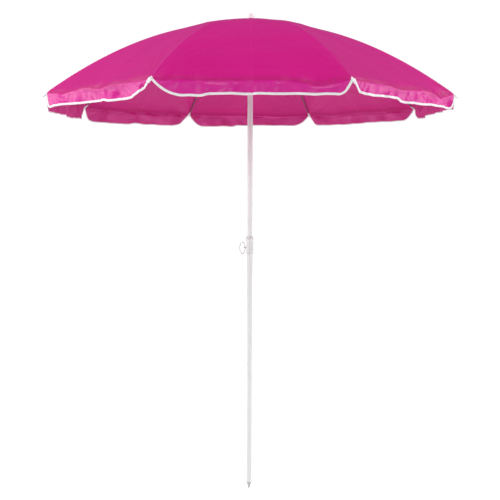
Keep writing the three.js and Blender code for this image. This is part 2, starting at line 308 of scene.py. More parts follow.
# ---- materials ----
class Nodes:
    """A material's node tree around its one Principled shader."""

    def __init__(self, name, color, roughness, metallic=0.0):
        self.material = bpy.data.materials.new(name)
        self.material.use_nodes = True
        self.tree = self.material.node_tree
        self.shader = self.tree.nodes["Principled BSDF"]
        self.set(**{"Base Color": (*color, 1), "Roughness": roughness, "Metallic": metallic})

    def set(self, **sockets):
        """Sets the shader's own sockets."""
        for socket, value in sockets.items():
            self.shader.inputs[socket].default_value = value

    def add(self, kind, inputs=None, **settings):
        """Adds a node. Each input is a number, a vector or another node's output."""
        node = self.tree.nodes.new("ShaderNode" + kind)
        for key, value in settings.items():
            setattr(node, key, value)
        for socket, value in (inputs or {}).items():
            if isinstance(value, bpy.types.NodeSocket):
                self.tree.links.new(value, node.inputs[socket])
            else:
                node.inputs[socket].default_value = value
        return node

    def link(self, output, socket):
        """Feeds the shader's socket from an output."""
        self.tree.links.new(output, self.shader.inputs[socket])

    def place(self, uv=False):
        """Where the pattern is: metres on the flat cloth, or metres in the row frame."""
        return self.add("TexCoord").outputs["UV" if uv else "Object"]

    def noise(self, place, scale, detail=3.0, roughness=0.5):
        """A noise, from 0 to 1, of so many lumps a metre."""
        inputs = {"Vector": place, "Scale": scale, "Detail": detail, "Roughness": roughness}
        return self.add("TexNoise", inputs).outputs["Fac"]

    def bands(self, place, direction, scale):
        """Straight bands along one axis."""
        inputs = {"Vector": place, "Scale": scale}
        return self.add("TexWave", inputs, bands_direction=direction).outputs["Fac"]

    def math(self, operation, a, b=0.0, c=0.0):
        """One step of arithmetic."""
        return self.add("Math", {0: a, 1: b, 2: c}, operation=operation).outputs[0]

    def between(self, value, low, high, to_low=0.0, to_high=1.0):
        """Maps a value from one range to another, and holds it there."""
        inputs = {"Value": value, "From Min": low, "From Max": high, "To Min": to_low, "To Max": to_high}
        return self.add("MapRange", inputs, clamp=True).outputs["Result"]

    def mixed(self, share, first, second):
        """A colour between two, which are outputs or three numbers."""
        node = self.add("Mix", data_type="RGBA")
        self.tree.links.new(share, node.inputs["Factor"])
        for socket, value in ((node.inputs[6], first), (node.inputs[7], second)):
            if isinstance(value, bpy.types.NodeSocket):
                self.tree.links.new(value, socket)
            else:
                socket.default_value = (*value, 1)
        return node.outputs[2]

    def bump(self, *layers):
        """Bumps one over another: each layer is (height, distance in metres)."""
        normal = None
        for height, distance in layers:
            inputs = {"Height": height, "Distance": distance, "Strength": 1.0}
            if normal is not None:
                inputs["Normal"] = normal
            normal = self.add("Bump", inputs).outputs["Normal"]
        self.link(normal, "Normal")


def weave(nodes, place, pitch):
    """A plain weave's height: warp and weft bands a pitch apart."""
    scale = math.pi / (10 * pitch)  # the wave texture's own unit
    warp = nodes.bands(place, "X", scale)
    weft = nodes.bands(place, "Y", scale)
    return nodes.math("MAXIMUM", warp, weft)


def cloth_material(name, base, deep_and_hem_shade, flap, roughness, sheen):
    """Coated polyester. On its flat map X runs across a panel and Y up from the fold, in metres.

    base and the deep colour mix in drifts. The deep colour also darkens a band above the fold: painted
    shade.
    The flap colour is painted light: it lightens the single cloth below the fold and lays a painted
    highlight along the pressed crease down a panel's middle.
    """
    nodes = Nodes(name, base, roughness)
    place = nodes.place(uv=True)
    axes = nodes.add("SeparateXYZ", {"Vector": place})
    across, height = axes.outputs["X"], axes.outputs["Y"]
    drift = nodes.noise(place, 5, 4)
    blotch = nodes.noise(place, 38, 5, 0.6)
    tint = nodes.mixed(nodes.between(drift, 0.35, 0.65, 0, 0.25), base, deep_and_hem_shade)
    # painted shade: a darker band above the fold, its lower edge wandering
    wander = nodes.math("MULTIPLY", nodes.math("SUBTRACT", nodes.noise(place, 9, 2), 0.5), 20 * MM)
    edge = nodes.math("ADD", height, wander)
    above = nodes.between(edge, 9 * MM, 26 * MM, 1, 0)
    below = nodes.between(edge, -6 * MM, 3 * MM, 0, 1)
    hem = nodes.math("MULTIPLY", above, below)
    # painted light: below the fold the single cloth takes the lighter flap colour
    lit_single_cloth = nodes.between(height, -8 * MM, -2 * MM, 1, 0)
    # painted highlight: the flap colour laid along the pressed crease down the panel's middle
    crease_highlight = nodes.between(nodes.math("ABSOLUTE", across), 1 * MM, 4 * MM, 0.3, 0)
    hem_shade_and_crease_highlight = nodes.mixed(crease_highlight, nodes.mixed(hem, tint, deep_and_hem_shade), flap)
    shade = nodes.mixed(lit_single_cloth, hem_shade_and_crease_highlight, flap)
    nodes.link(shade, "Base Color")
    matt = nodes.between(blotch, 0.3, 0.7, roughness, roughness + 0.1)
    nodes.link(nodes.math("MULTIPLY_ADD", hem, 0.15, matt), "Roughness")
    nodes.bump((weave(nodes, place, 0.7 * MM), 0.02 * MM), (blotch, 0.35 * MM))
    nodes.set(**{"Specular IOR Level": 0.36, "Sheen Weight": sheen, "Sheen Roughness": 0.4,
                 "Sheen Tint": (1.0, 0.08, 0.75, 1)})
    return nodes.material


def tape_material():
    """White binding tape with a row of stitches near its upper edge. X runs along it, Y across."""
    nodes = Nodes("binding_tape", (0.86, 0.86, 0.87), 0.62)
    place = nodes.place(uv=True)
    axes = nodes.add("SeparateXYZ", {"Vector": place})
    along, across = axes.outputs["X"], axes.outputs["Y"]
    stitch = nodes.math("LESS_THAN", nodes.math("FRACT", nodes.math("DIVIDE", along, 3.6 * MM)), 0.68)
    from_row = nodes.math("ABSOLUTE", nodes.math("SUBTRACT", across, 5.6 * MM))
    row = nodes.math("LESS_THAN", from_row, 0.45 * MM)
    thread = nodes.math("MULTIPLY", stitch, row)
    soil = nodes.between(nodes.noise(place, 60, 4), 0.4, 0.75, 0, 0.3)
    cloth = nodes.mixed(soil, (0.86, 0.86, 0.87), (0.76, 0.76, 0.78))
    nodes.link(nodes.mixed(thread, cloth, (0.92, 0.92, 0.92)), "Base Color")
    nodes.bump((weave(nodes, place, 0.5 * MM), 0.04 * MM), (thread, 0.25 * MM))
    return nodes.material


def worn_material(name, color, roughness, worn, marks, gloss, grain, metallic=0.0, specular=0.5):
    """Paint, plastic or metal, with marks of another colour or none, uneven gloss and a fine grain.

    marks: its noise's scale, detail, roughness, low and high, and the marks' share. gloss: scale,
    detail, how much below and above. grain: scale, detail, depth in millimetres.
    """
    nodes = Nodes(name, color, roughness, metallic)
    place = nodes.place()
    if marks:
        low, high, share = marks[3:]
        spots = nodes.between(nodes.noise(place, *marks[:3]), low, high, 0, share)
        nodes.link(nodes.mixed(spots, color, worn), "Base Color")
    uneven = nodes.noise(place, *gloss[:2])
    nodes.link(nodes.between(uneven, 0.3, 0.7, roughness - gloss[2], roughness + gloss[3]), "Roughness")
    nodes.bump((nodes.noise(place, *grain[:2]), grain[2] * MM))
    nodes.set(**{"Specular IOR Level": specular})
    return nodes.material


def moulded_material(name, color, roughness, worn):
    """Moulded plastic with faint scuffs."""
    return worn_material(name, color, roughness, worn, (140, 6, 0.7, 0.55, 0.75, 0.6), (60, 3, 0.06, 0.08),
                         (1600, 2, 0.04), specular=0.25)


# Each cloth: its own colour; a deep colour for drifts and for the painted shade above the fold; a lighter
# colour of painted light for the single cloth below the fold and for the crease
OUTER = cloth_material("canopy_outside", (0.6, 0.003, 0.218), (0.51, 0.0, 0.165),
                       (0.65, 0.008, 0.28), 0.31, 0.08)
INNER = cloth_material("canopy_inside", (0.54, 0.003, 0.19), (0.47, 0.002, 0.155),
                       (0.67, 0.062, 0.32), 0.5, 0.05)
TAPE = tape_material()
# the paint's slight blue-green cast is painted to cancel the pink light that the canopy throws on the tubes
PAINT = worn_material("white_powder_coat", (0.8, 0.83, 0.83), 0.42, (0.7, 0.73, 0.73),
                      (26, 6, 0.65, 0.56, 0.74, 0.5), (90, 3, 0.06, 0.08), (900, 2, 0.05), specular=0.14)
WHITE = moulded_material("white_moulding", (0.78, 0.81, 0.81), 0.4, (0.68, 0.7, 0.7))
# painted light: the knob on top gets a lighter copy of the white moulding
KNOB_PAINTED_LIGHT = moulded_material("knob_moulding", (0.93, 0.96, 0.95), 0.4, (0.86, 0.88, 0.88))
GREY = moulded_material("grey_moulding", (0.58, 0.58, 0.59), 0.48, (0.48, 0.48, 0.48))
WIRE = worn_material("dark_plated_wire", (0.17, 0.155, 0.15), 0.42, (0.2, 0.12, 0.09),
                     (320, 5, 0.7, 0.6, 0.74, 0.6), (110, 4, 0.08, 0.13), (700, 3, 0.05), metallic=0.85)
ZINC = worn_material("zinc_plate", (0.62, 0.62, 0.63), 0.3, None, None, (400, 4, 0.08, 0.12),
                     (900, 3, 0.03), metallic=1.0)


def finish(piece, body, slot, *nodes):
    """Says which body a piece rides on and the CAD nodes that it stands for; its material slot is not used.
    """
    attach(piece, body)
    if nodes:
        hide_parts(*nodes)
    return piece


# ---- pole ----
def pole_tube(name, box):
    """A steel tube between a box's ends, its edges broken."""
    wall, edge = 1 * MM, 0.35 * MM
    outer = (box[1].x - box[0].x) / 2
    inner = outer - wall
    low, high = box[0].z, box[1].z
    profile = [(inner, low + edge), (inner + edge, low), (outer - edge, low), (outer, low + edge)]
    profile += [(outer, high - edge), (outer - edge, high), (inner + edge, high), (inner, high - edge)]
    return lathe(name, profile, PAINT)


def make_poles():
    """The two tubes, the upper one with a window for the catch."""
    finish(pole_tube("lower_pole_tube", TUBE_LOW), "lower_pole", "white_tube", "lower_tube")
    tube = pole_tube("upper_pole_tube", TUBE_HIGH)
    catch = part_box("catch_button")
    middle = (catch[0] + catch[1]) / 2
    half_width, half_height = 3.1 * MM, 5.1 * MM
    window = block("window", (6 * MM, 16 * MM), (-half_width, half_width),
                   (middle.z - half_height, middle.z + half_height), math.atan2(middle.y, middle.x))
    finish(cut(tube, window), "upper_pole", "white_tube", "upper_tube")


def make_spike():
    """A moulded point with a shoulder, and four shallow fins that run into its flange."""
    top = SPIKE[1].z
    r = (SPIKE[1].x - SPIKE[0].x) / 2
    shoulder = top - 40.3 * MM
    profile = mm((0, 0), (0.9, 0.3), (1.5, 1.3), (3.2, 6.5), (6.2, 16), (9.2, 26))
    profile += mm((10.4, -3.6), at=(0, shoulder)) + mm((-1, -3.5), at=(r, shoulder))
    profile += arc((r - 0.8 * MM, shoulder - 2.7 * MM), 0.8 * MM, -90, 0, 4)
    profile += arc((r - 0.8 * MM, shoulder - 1.0 * MM), 0.8 * MM, 0, 90, 4)
    profile += mm((11.1, -0.2), at=(0, shoulder)) + mm((11.1, -1), (10.1, 0), (0, 0), at=(0, top))
    spike = lathe("spike", profile, GREY)
    fins = []
    for i in range(4):
        outline = mm((2.2, 5), (5.2, 11)) + mm((11.4, -3.7), (5, -3.7), at=(0, shoulder))
        fin = prism("fin", outline, 0.8 * MM, 0, GREY)
        fin.data.transform(Matrix.Rotation(math.pi / 4 + i * math.pi / 2, 4, "Z"))
        fins.append(modified(fin, "BEVEL", width=0.4 * MM, segments=2))
    finish(joined("spike", [spike, *fins]), "lower_pole", "grey_plastic", "ground_spike")


def to_screw(z):
    """Turns a piece made about +Z so that its heights run along X, at height z."""
    return Matrix.Translation((0, 0, z)) @ Matrix.Rotation(math.radians(90), 4, "Y")


def make_collar():
    """A sleeve with a rolled lip at each end, flutes for grip, an ear and a boss for the screw."""
    low, high = COLLAR[0].z, COLLAR[1].z
    bore, r = 12.8 * MM, 15.5 * MM
    seat = 13.8 * MM
    profile = [(bore, low), (r + 0.8 * MM, low)]
    profile += arc((r + 0.7 * MM, low + 0.7 * MM), 0.7 * MM, -60, 60, 5)
    profile += mm((0.9, 4), (0.2, 6), (0, 8), at=(r, low)) + mm((0, -10), (0.1, -8.6), at=(r, high))
    profile += arc((r - 0.3 * MM, high - 6 * MM), 1.1 * MM, -50, 70, 6)
    profile += mm((-0.4, -4), (-0.6, -1), (-1.1, 0), at=(r, high))
    profile += [(seat, high), (seat, high - 14.5 * MM), (bore, high - 14.5 * MM)]
    collar = lathe("collar", profile, WHITE, 96)
    flutes, flute_r, boss_angle = 18, r + 0.12 * MM, 0.62
    grooves = []
    for i in range(flutes):
        angle = 2 * math.pi * (i + 0.5) / flutes
        if abs(math.pi - angle) < boss_angle:
            continue
        outline = mm((0, 11), (0.55, 12), at=(0, low)) + mm((0.55, -14), (0, -13), at=(0, high))
        groove = lathe("groove", outline, WHITE, 8)
        groove.data.transform(Matrix.Translation((flute_r * math.cos(angle), flute_r * math.sin(angle), 0)))
        grooves.append(groove)
    cut(collar, joined("grooves", grooves))
    screw_z = (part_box("clamp_screw")[0].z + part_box("clamp_screw")[1].z) / 2
    profile = mm((3.3, -13.6), (8.1, -13.6), (7.2, -16), (6.6, -18.5), (6.1, -19), (3.3, -19))
    boss = lathe("boss", profile, WHITE, 40)
    boss.data.transform(to_screw(screw_z))
    ear = block("ear", (-18.1 * MM, -14 * MM), (-2.6 * MM, 2.6 * MM), (high - 12 * MM, high - 4.5 * MM))
    ear.data.materials.append(WHITE)
    modified(ear, "BEVEL", width=1.1 * MM, segments=3)
    finish(joined("collar", [collar, boss, ear]), "lower_pole", "white_plastic", "clamp_collar")


def make_thumb_ring():
    """An oval loop of rounded bar with a hub, melted into one moulding."""
    low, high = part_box("thumb_ring")
    middle = (low + high) / 2
    bar = 2.55 * MM
    half_width = 13.6 * MM
    x_radius = half_width - bar
    z_radius = (high.z - low.z) / 2 - bar
    x, z = circle(96).T
    path = np.stack([low.x + half_width + x_radius * x, 0 * x, middle.z + z_radius * z], 1)
    ahead = np.roll(path, -1, 0) - np.roll(path, 1, 0)
    ahead /= np.linalg.norm(ahead, axis=1)[:, None]
    side = np.tile([0, 1.0, 0], (len(path), 1))
    out = np.cross(side, ahead)
    loop = sweep("loop", path, side, out, bar * circle(16), [WHITE], closed=True)
    profile = mm((0, -20.2), (4.2, -20.2), (5, -20.9), (4.8, -23.5), (3.6, -25.4), (0, -25.8))
    hub = lathe("hub", profile, WHITE, 32)
    hub.data.transform(to_screw(middle.z))
    ring = modified(joined("thumb_loop", [loop, hub]), "REMESH", mode="VOXEL", voxel_size=0.45 * MM,
                    use_smooth_shade=True)
    ring = modified(ring, "SMOOTH", factor=0.5, iterations=4)
    ring.data.polygons.foreach_set("use_smooth", np.ones(len(ring.data.polygons), bool))
    finish(ring, "thumb_ring", "white_plastic", "thumb_ring")


def make_finial():
    """The knob on top: a flat-topped turning with rounded edges and a shadow groove round its foot."""
    top = FINIAL[1].z
    r = (FINIAL[1].x - FINIAL[0].x) / 2 + 1.6 * MM
    base = top - 44.6 * MM
    profile = mm((0, 0), (3.2, 0), at=(0, FINIAL[0].z))
    profile += mm((3.2, -1.6), at=(0, base)) + mm((-1.2, -1.6), at=(r, base))
    profile += arc((r - 1 * MM, base - 0.6 * MM), 1 * MM, -70, 0, 4)
    profile += mm((0, 2.6), (-0.8, 3.4), (-0.8, 4.6), (0, 5.4), at=(r, base))
    profile += [(r, top - 8.5 * MM)]
    profile += arc((r - 7 * MM, top - 7 * MM), 7 * MM, 0, 90, 10)
    profile += mm((4, 0), (3.4, -0.4), (0, -0.4), at=(0, top))
    finish(lathe("top_knob", profile, KNOB_PAINTED_LIGHT, 80), "upper_pole", "white_plastic", "finial")


def slot_tools(r0, r1, half_width, z0, z1, side=0.0):
    """A cutting block for each spoke's slot, between two radii and two heights."""
    return [block("slot", (r0, r1), (side - half_width, side + half_width), (z0, z1), rib_azimuth(k))
            for k in range(1, GORES + 1)]


def ring_wire(name, radius, height, thickness, body):
    """A closed ring of wire round the pole's axis."""
    count = 96
    path = np.column_stack([circle(count) * radius, np.full(count, height)])
    finish(tube_along(name, path, thickness, ZINC, 10, True), body, "dark_steel")


def make_crown():
    """The notched disc that the ribs hang on, and the ring wire that holds them in it."""
    top = NOTCH[1].z
    base = top - 15.1 * MM
    spigot = 9.7 * MM
    r = (NOTCH[1].x - NOTCH[0].x) / 2
    profile = [(0, NOTCH[0].z)] + mm((-0.6, 0), (0, 0.6), at=(spigot, NOTCH[0].z))
    profile += [(spigot, base), (13 * MM, base)] + mm((-0.6, 2.2), (0, 3), at=(r, base))
    profile += [(r, top - 2 * MM)] + mm((16.5, 0), (3.5, 0), (3.5, -13.4), (0, -13.4), at=(0, top))
    disc = lathe("crown_disc", profile, WHITE, 80)
    cut(disc, *slot_tools(8.6 * MM, 25 * MM, 2.2 * MM, base - 5 * MM, top + 5 * MM))
    finish(disc, "upper_pole", "white_plastic", "crown_notch")
    ring_wire("crown_ring_wire", *RIB_HINGE, 0.95 * MM, "upper_pole")


def make_runner():
    """The sliding sleeve: a flange with a slot for each stretcher, a ring wire and a keyway."""
    low, high = RUNNER_BOX[0].z, RUNNER_BOX[1].z
    bore, sleeve, flange = 11.5 * MM, 14.6 * MM, 23.5 * MM
    z = RING_Z
    profile = [(bore, low), (sleeve + 0.4 * MM, low)]
    profile += arc((sleeve + 0.4 * MM, low + 0.6 * MM), 0.6 * MM, -90, 0, 3)
    profile += mm((1, 3.6), (0.2, 6), (0, 8), at=(sleeve, low)) + [(sleeve, z - 6 * MM)]
    profile += mm((-0.8, -6), (0, -5.2), (0, 5.2), (-0.8, 6), at=(flange, z)) + [(sleeve, z + 6 * MM)]
    profile += mm((0, -0.8), (-0.8, 0), at=(sleeve, high)) + [(bore, high)]
    sleeve_piece = lathe("runner_sleeve", profile, WHITE, 80)
    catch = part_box("catch_button")
    azimuth = math.atan2(catch[0].y + catch[1].y, catch[0].x + catch[1].x)
    tools = slot_tools(sleeve + 0.1 * MM, 30 * MM, 1.8 * MM, z - 10 * MM, z + 10 * MM, STRETCHER_SIDE)
    boss = block("boss", (sleeve - 1.5 * MM, 18 * MM), (-5 * MM, 5 * MM), (low, z - 6.5 * MM), azimuth)
    boss.data.materials.append(WHITE)
    modified(boss, "BEVEL", width=1 * MM, segments=3)
    modified(sleeve_piece, "BOOLEAN", object=boss, operation="UNION", solver="EXACT")
    bpy.data.objects.remove(boss)
    through = (low - 5 * MM, high + 5 * MM)
    keyway = block("keyway", (8 * MM, 15.6 * MM), (-3.2 * MM, 3.2 * MM), through, azimuth)
    cut(sleeve_piece, *tools, keyway)
    finish(sleeve_piece, "runner", "white_plastic", "runner")
    ring_wire("runner_ring_wire", RING_R, z, 0.9 * MM, "runner")


def dress_small_parts():
    """The small CAD parts that stay: their own materials, and softened edges."""
    looks = {"clamp_screw": ZINC, "pole_liner": WHITE, "tube_plug": WHITE, "catch_button": ZINC}
    for name, material in looks.items():
        node = frame["nodes"][name]
        node.data.materials.clear()
        node.data.materials.append(material)
        bevel = node.modifiers.new("soft_edges", "BEVEL")
        bevel.width = 0.25 * MM
        bevel.segments = 2
        bevel.limit_method = "ANGLE"
        bevel.angle_limit = math.radians(40)


# ---- ribs and stretchers ----
def spoke_path(radii, heights, azimuth):
    """Points in the plane of a rib, in the row frame."""
    return turned(np.stack([radii, 0 * radii, heights], 1), azimuth)


def make_rib(k):
    """A curved wire with a flattened eye at the crown end."""
    azimuth = rib_azimuth(k)
    radii = np.concatenate([np.linspace(21 * MM, 80 * MM, 12), np.linspace(90 * MM, RIB_END, 60)])
    wire = tube_along("wire", spoke_path(radii, rib_z(radii), azimuth), RIB_R, WIRE)
    hinge = np.array(RIB_HINGE)
    end = np.array([27 * MM, float(rib_z(27 * MM))])
    eye = flat_link("eye", hinge, end, 2.9 * MM, 2.2 * MM, 1.4 * MM, 0.0, azimuth, 1.3 * MM, 0.0, WIRE)
    finish(joined(f"rib_wire_{k}", [wire, eye]), f"rib_{k}", "dark_steel", f"rib_{k}")


def flat_link(name, start, end, start_r, end_r, half_thick, side, azimuth, start_hole, end_hole, material):
    """A flat bar with round ends and an optional hole at each, in a spoke's plane."""
    angle = math.degrees(math.atan2(end[1] - start[1], end[0] - start[0]))
    steps = 11
    outline = arc(start, start_r, angle + 90, angle + 270, steps)
    outline += arc(end, end_r, angle - 90, angle + 90, steps)
    link = prism(name, outline, half_thick, side, material)
    reach = 6 * MM  # of a hole's cutter, to each side
    for centre, hole in ((start, start_hole), (end, end_hole)):
        if hole:
            tool = lathe("hole", [(0, -reach), (hole, -reach), (hole, reach), (0, reach)], material, 20)
            tool.data.transform(Matrix.Rotation(math.pi / 2, 4, "X"))
            tool.data.transform(Matrix.Translation((centre[0], side, centre[1])))
            cut(link, tool)
    modified(link, "BEVEL", width=0.35 * MM, segments=2, limit_method="ANGLE", angle_limit=math.radians(50))
    link.data.transform(Matrix.Rotation(azimuth, 4, "Z"))
    return link


def make_stretcher(k):
    """A flat steel bar from the runner's ring to the rivet on its rib."""
    start = np.array([RING_R, RING_Z])
    end = np.array(RIVET)
    piece = flat_link(f"stretcher_bar_{k}", start, end, 2.8 * MM, 2.8 * MM, 1.05 * MM, STRETCHER_SIDE,
                      rib_azimuth(k), 1.1 * MM, 1.2 * MM, WIRE)
    finish(piece, f"stretcher_{k}", "dark_steel", f"stretcher_{k}")


def make_rivet(k):
    """A domed rivet through the rib's saddle and the stretcher's end."""
    near, far = (0, -2.6 * MM), (0, 5.9 * MM)
    profile = mm((0, -1.1), (1.1, -0.9), (1.9, -0.3), (2, 0), (1, 0), at=near)
    profile += mm((1, -1), (2, -1), (1.9, -0.6), (1.1, 0), (0, 0.1), at=far)
    rivet = lathe("rivet", profile, ZINC, 24)
    rivet.data.transform(Matrix.Rotation(-math.pi / 2, 4, "X"))
    rivet.data.transform(Matrix.Translation((RIVET[0], 0, RIVET[1])))
    rivet.data.transform(Matrix.Rotation(rib_azimuth(k), 4, "Z"))
    along = np.linspace(-1, 1, 15)
    radii = RIVET[0] + 13 * MM * along
    swell = 1 + 0.22 * smooth(1 - np.abs(along) ** 3)
    saddle = tube_along("saddle", spoke_path(radii, rib_z(radii), rib_azimuth(k)), RIB_R * swell, ZINC)
    finish(joined(f"rivet_{k}", [rivet, saddle]), f"rib_{k}", "dark_steel")


def make_tip(k):
    """The white cap on a rib's end, and the folded tab of tape that its cloth corner is sewn to."""
    azimuth = rib_azimuth(k)
    radii = np.linspace(800 * MM, CAP_END, 22)
    along = np.linspace(0, 1, 22)
    mouth = 0.82 + 0.18 * smooth(along * 4)
    dome = np.sqrt(np.clip(1 - np.clip((along - 0.86) / 0.145, 0, 1) ** 2, 0.02, 1))
    girth = 3.1 * MM * mouth * dome
    cap = tube_along(f"rib_cap_{k}", spoke_path(radii, rib_z(radii), azimuth), girth, WHITE, 20)
    finish(cap, f"rib_{k}", "white_plastic")
    n = 15
    s = np.linspace(-1, 1, n)
    radii = RIB_END + 9 * MM * s
    lift = canopy_z(radii) - np.maximum(0, radii - CANOPY_R) * RIM_SLOPE * 1.2 + 0.4 * MM
    width = 5.4 * MM * np.sqrt(np.clip(1 - np.abs(s) ** 3, 0.05, 1))
    path = spoke_path(radii, lift, azimuth)
    side = np.tile(turned([0, 1, 0], azimuth), (n, 1)) * width[:, None]
    up = np.tile([0, 0, 1.0], (n, 1)) * width[:, None]
    section = [(-1, -0.42), (-0.9, -0.18), (-0.5, 0.16), (0, 0.3), (0.5, 0.16), (0.9, -0.18), (1, -0.42),
               (0.6, -0.5), (0, -0.36), (-0.6, -0.5)]
    tab = sweep(f"tip_tab_{k}", path, side, up, section, [TAPE], 60)
    finish(tab, f"rib_{k}", "white_trim")


# ---- canopy ----
COLUMNS = 80  # on each half of a panel
ROWS = 90
FLAP_ROWS = 22
# By panel, in mm: the widths of its flap's rounded corners, at its first and at its second rib
CORNERS = {1: (112, 58), 2: (96, 24), 3: (26, 110), 4: (70, 78), 5: (90, 74), 6: (130, 24), 7: (120, 24),
           8: (22, 140)}
# By panel, in mm: where its fold droops, along the fold, how wide and how deep
DROOPS = {1: [(212, 60, 15), (-90, 70, 3)], 2: [(-40, 60, 9), (205, 55, 15)], 3: [(-90, 80, 5)],
          4: [(130, 60, 6)], 5: [(-160, 70, 5)], 6: [(90, 90, 6)], 7: [(150, 60, 5)],
          8: [(-190, 60, 8), (30, 60, 8)]}
# By panel, in mm: where along its flap the lower edge steps down, how far, and how much longer it is
STEPS = {1: (-160, -6, -5.5), 2: (-70, 10, -9), 3: (100, 4, -3), 4: (-60, 3, 0), 5: (60, 6, 2),
         6: (40, 4, 9), 7: (-100, 3, 9), 8: (60, 3, -2)}
# By panel: how deep the flap's creases and ruffles are
RUFFLES = {1: 1.25, 2: 1.25, 3: 0.45, 4: 0.8, 5: 0.8, 6: 0.8, 7: 0.45, 8: 1.25}
# By panel: how strongly folds fan out from its rib tips
FANS = {1: 0.3, 2: 0.3, 3: 0.7, 4: 1.25, 5: 1.35, 6: 1.0, 7: 0.7, 8: 0.3}


def panel_columns():
    """From -1 on the panel's first rib to 1 on its second, closer together near the ribs."""
    s = np.linspace(-1, 1, 2 * COLUMNS + 1)
    return 0.5 * s + 0.5 * np.sin(s * math.pi / 2)


def panel_rows():
    """Rib radii from the crown to the edge, closer together near the edge."""
    q = np.linspace(0, 1, ROWS)
    return CLOTH_INNER_R + (CANOPY_R - CLOTH_INNER_R) * (0.45 * q + 0.55 * np.sin(q * math.pi / 2))


def waves(rng, x, spans, size):
    """A sum of sines over x with seeded phases and lengths, about the spans given in millimetres."""
    total = np.zeros_like(x)
    for span in spans:
        length = span * MM * rng.uniform(0.8, 1.25)
        total += rng.uniform(0.5, 1.0) * np.sin(2 * math.pi * x / length + rng.uniform(0, 2 * math.pi))
    return total * size / math.sqrt(len(spans))


def fan_of_folds(rng, a, b):
    """Folds that spread from a rib's tip. a is the distance up the rib and b the distance beside it."""
    reach = np.hypot(a, b) + 1e-6
    angle = np.arctan2(b, a)
    total = np.zeros_like(a)
    for middle in (9, 18, 29, 43, 60, 76):
        at = math.radians(middle + rng.uniform(-3.5, 3.5))
        length = rng.uniform(70, 130) * MM
        width = rng.uniform(3.6, 6.0) * MM + reach * math.radians(1.4)
        across = (angle - at) * reach / width
        fold = np.exp(-across**2) - 0.55 * np.exp(-((across / 2.2) ** 2))
        fade = (reach / length) * np.exp(1 - reach / length) * eased(reach, 14)
        total -= rng.uniform(1.4, 2.6) * MM * fold * fade
    return total


def rim_line(k, u):
    """How the fold between a panel and its flap leaves a straight line: outwards and down, in metres."""
    rng = np.random.default_rng(500 + k)
    held = eased(HALF_RIM - np.abs(u), 70)
    out = waves(rng, u, (260, 150, 90), 1.8 * MM) * held
    down = (waves(rng, u, (330, 170), 1.0 * MM) + 0.8 * MM) * held
    for place, width, depth in DROOPS[k]:
        droop = np.exp(-(((u / MM - place) / width) ** 2))
        down += depth * MM * droop * eased(HALF_RIM - np.abs(u), 55)
    return out, down


def panel_grid(k):
    """Points of a whole panel in its own frame, and its flat map: X across, Y up from the fold."""
    rng = np.random.default_rng(100 + k)
    r, w = np.meshgrid(panel_rows(), panel_columns(), indexing="ij")
    u = w * r * math.sin(SECTOR / 2)
    beside = (1 - np.abs(w)) * r * math.sin(SECTOR) / 2
    slant = (CANOPY_R - r) * math.hypot(1, RIM_SLOPE * 0.8)
    free = eased(beside, 26)
    share = r / CANOPY_R
    full = np.exp(-(((share - 0.28) / 0.17) ** 2))  # the cloth stands up near the crown
    taut = smooth((share - 0.35) / 0.4)  # and is pulled in further out
    lift = 4.5 * MM * (full - taut) * (1 - w**2)
    lift += waves(rng, u + 0.3 * slant, (310, 190), 1.1 * MM) * free
    lift += waves(rng, slant - 0.2 * u, (420, 240, 130), 1.0 * MM) * free
    pucker = waves(rng, slant, (17, 26, 43), 0.5 * MM)
    lift += pucker * np.exp(-beside / (17 * MM)) * eased(beside, 5) * eased(r - 60 * MM, 90)
    for side in (-1, 1):
        fold = fan_of_folds(rng, slant, np.where(w * side >= 0, beside, 1.0))
        lift += np.where(w * side >= 0, fold, 0) * eased(beside, 9) * FANS[k]
    lift += waves(rng, u, (23, 37, 58), 0.55 * MM) * np.exp(-slant / (26 * MM)) * free
    lift += 0.9 * MM * np.exp(-np.abs(u) / (7 * MM)) * eased(r - 40 * MM, 80) * eased(slant, 30)
    hem = 3.2 * MM * eased(slant, 17) * eased(75 * MM - slant, 58)
    lift += hem * eased(beside, 42)
    slope = RIM_SLOPE * share ** (CURVE - 1) / math.cos(SECTOR / 2)
    steep = np.hypot(1, slope)
    out, down = rim_line(k, u)
    near_rim = np.exp(-((slant / (45 * MM)) ** 2))
    x = r * math.cos(SECTOR / 2) + lift * slope / steep + out * near_rim
    z = canopy_z(r) + lift / steep - down * near_rim
    flat = np.stack([u, slant / math.cos(SECTOR / 2)], -1)
    return np.stack([x, u, z], -1), flat


def flap_drop(k, u):
    """How far panel k's flap reaches below a straight fold, at each place along it."""
    first, second = (width * MM for width in CORNERS[k])
    corner = np.where(u < 0, first, second)
    t = HALF_RIM - np.abs(u)
    drop = VALANCE_DROP * (1 - np.maximum(0, 1 - t / corner) ** VALANCE_POWER)
    rng = np.random.default_rng(800 + k)
    place, step, longer = (value * MM for value in STEPS[k])
    uneven = waves(rng, u, (230, 110), 1.1 * MM) + step * (eased(u - place, 30) - 0.5) + longer
    return np.maximum(drop + uneven * smooth(t / corner) * eased(t, 60), 1.2 * MM)


def creases(rng, x, y, count, half_width, drop, lengths, widths, sizes):
    """Soft creases at seeded places and slants on a flap."""
    total = np.zeros_like(x)
    for _ in range(count):
        cx, cy = rng.uniform(-half_width, half_width), -drop * rng.uniform(0.1, 0.95)
        slant = rng.normal(math.pi / 2, 0.9)
        length, width = rng.uniform(*lengths) * MM, rng.uniform(*widths) * MM
        along = (x - cx) * math.cos(slant) + (y - cy) * math.sin(slant)
        across = -(x - cx) * math.sin(slant) + (y - cy) * math.cos(slant)
        size = rng.uniform(*sizes) * MM * rng.choice([-1, 1])
        total += size * np.exp(-((along / length) ** 2) - (across / width) ** 2)
    return total


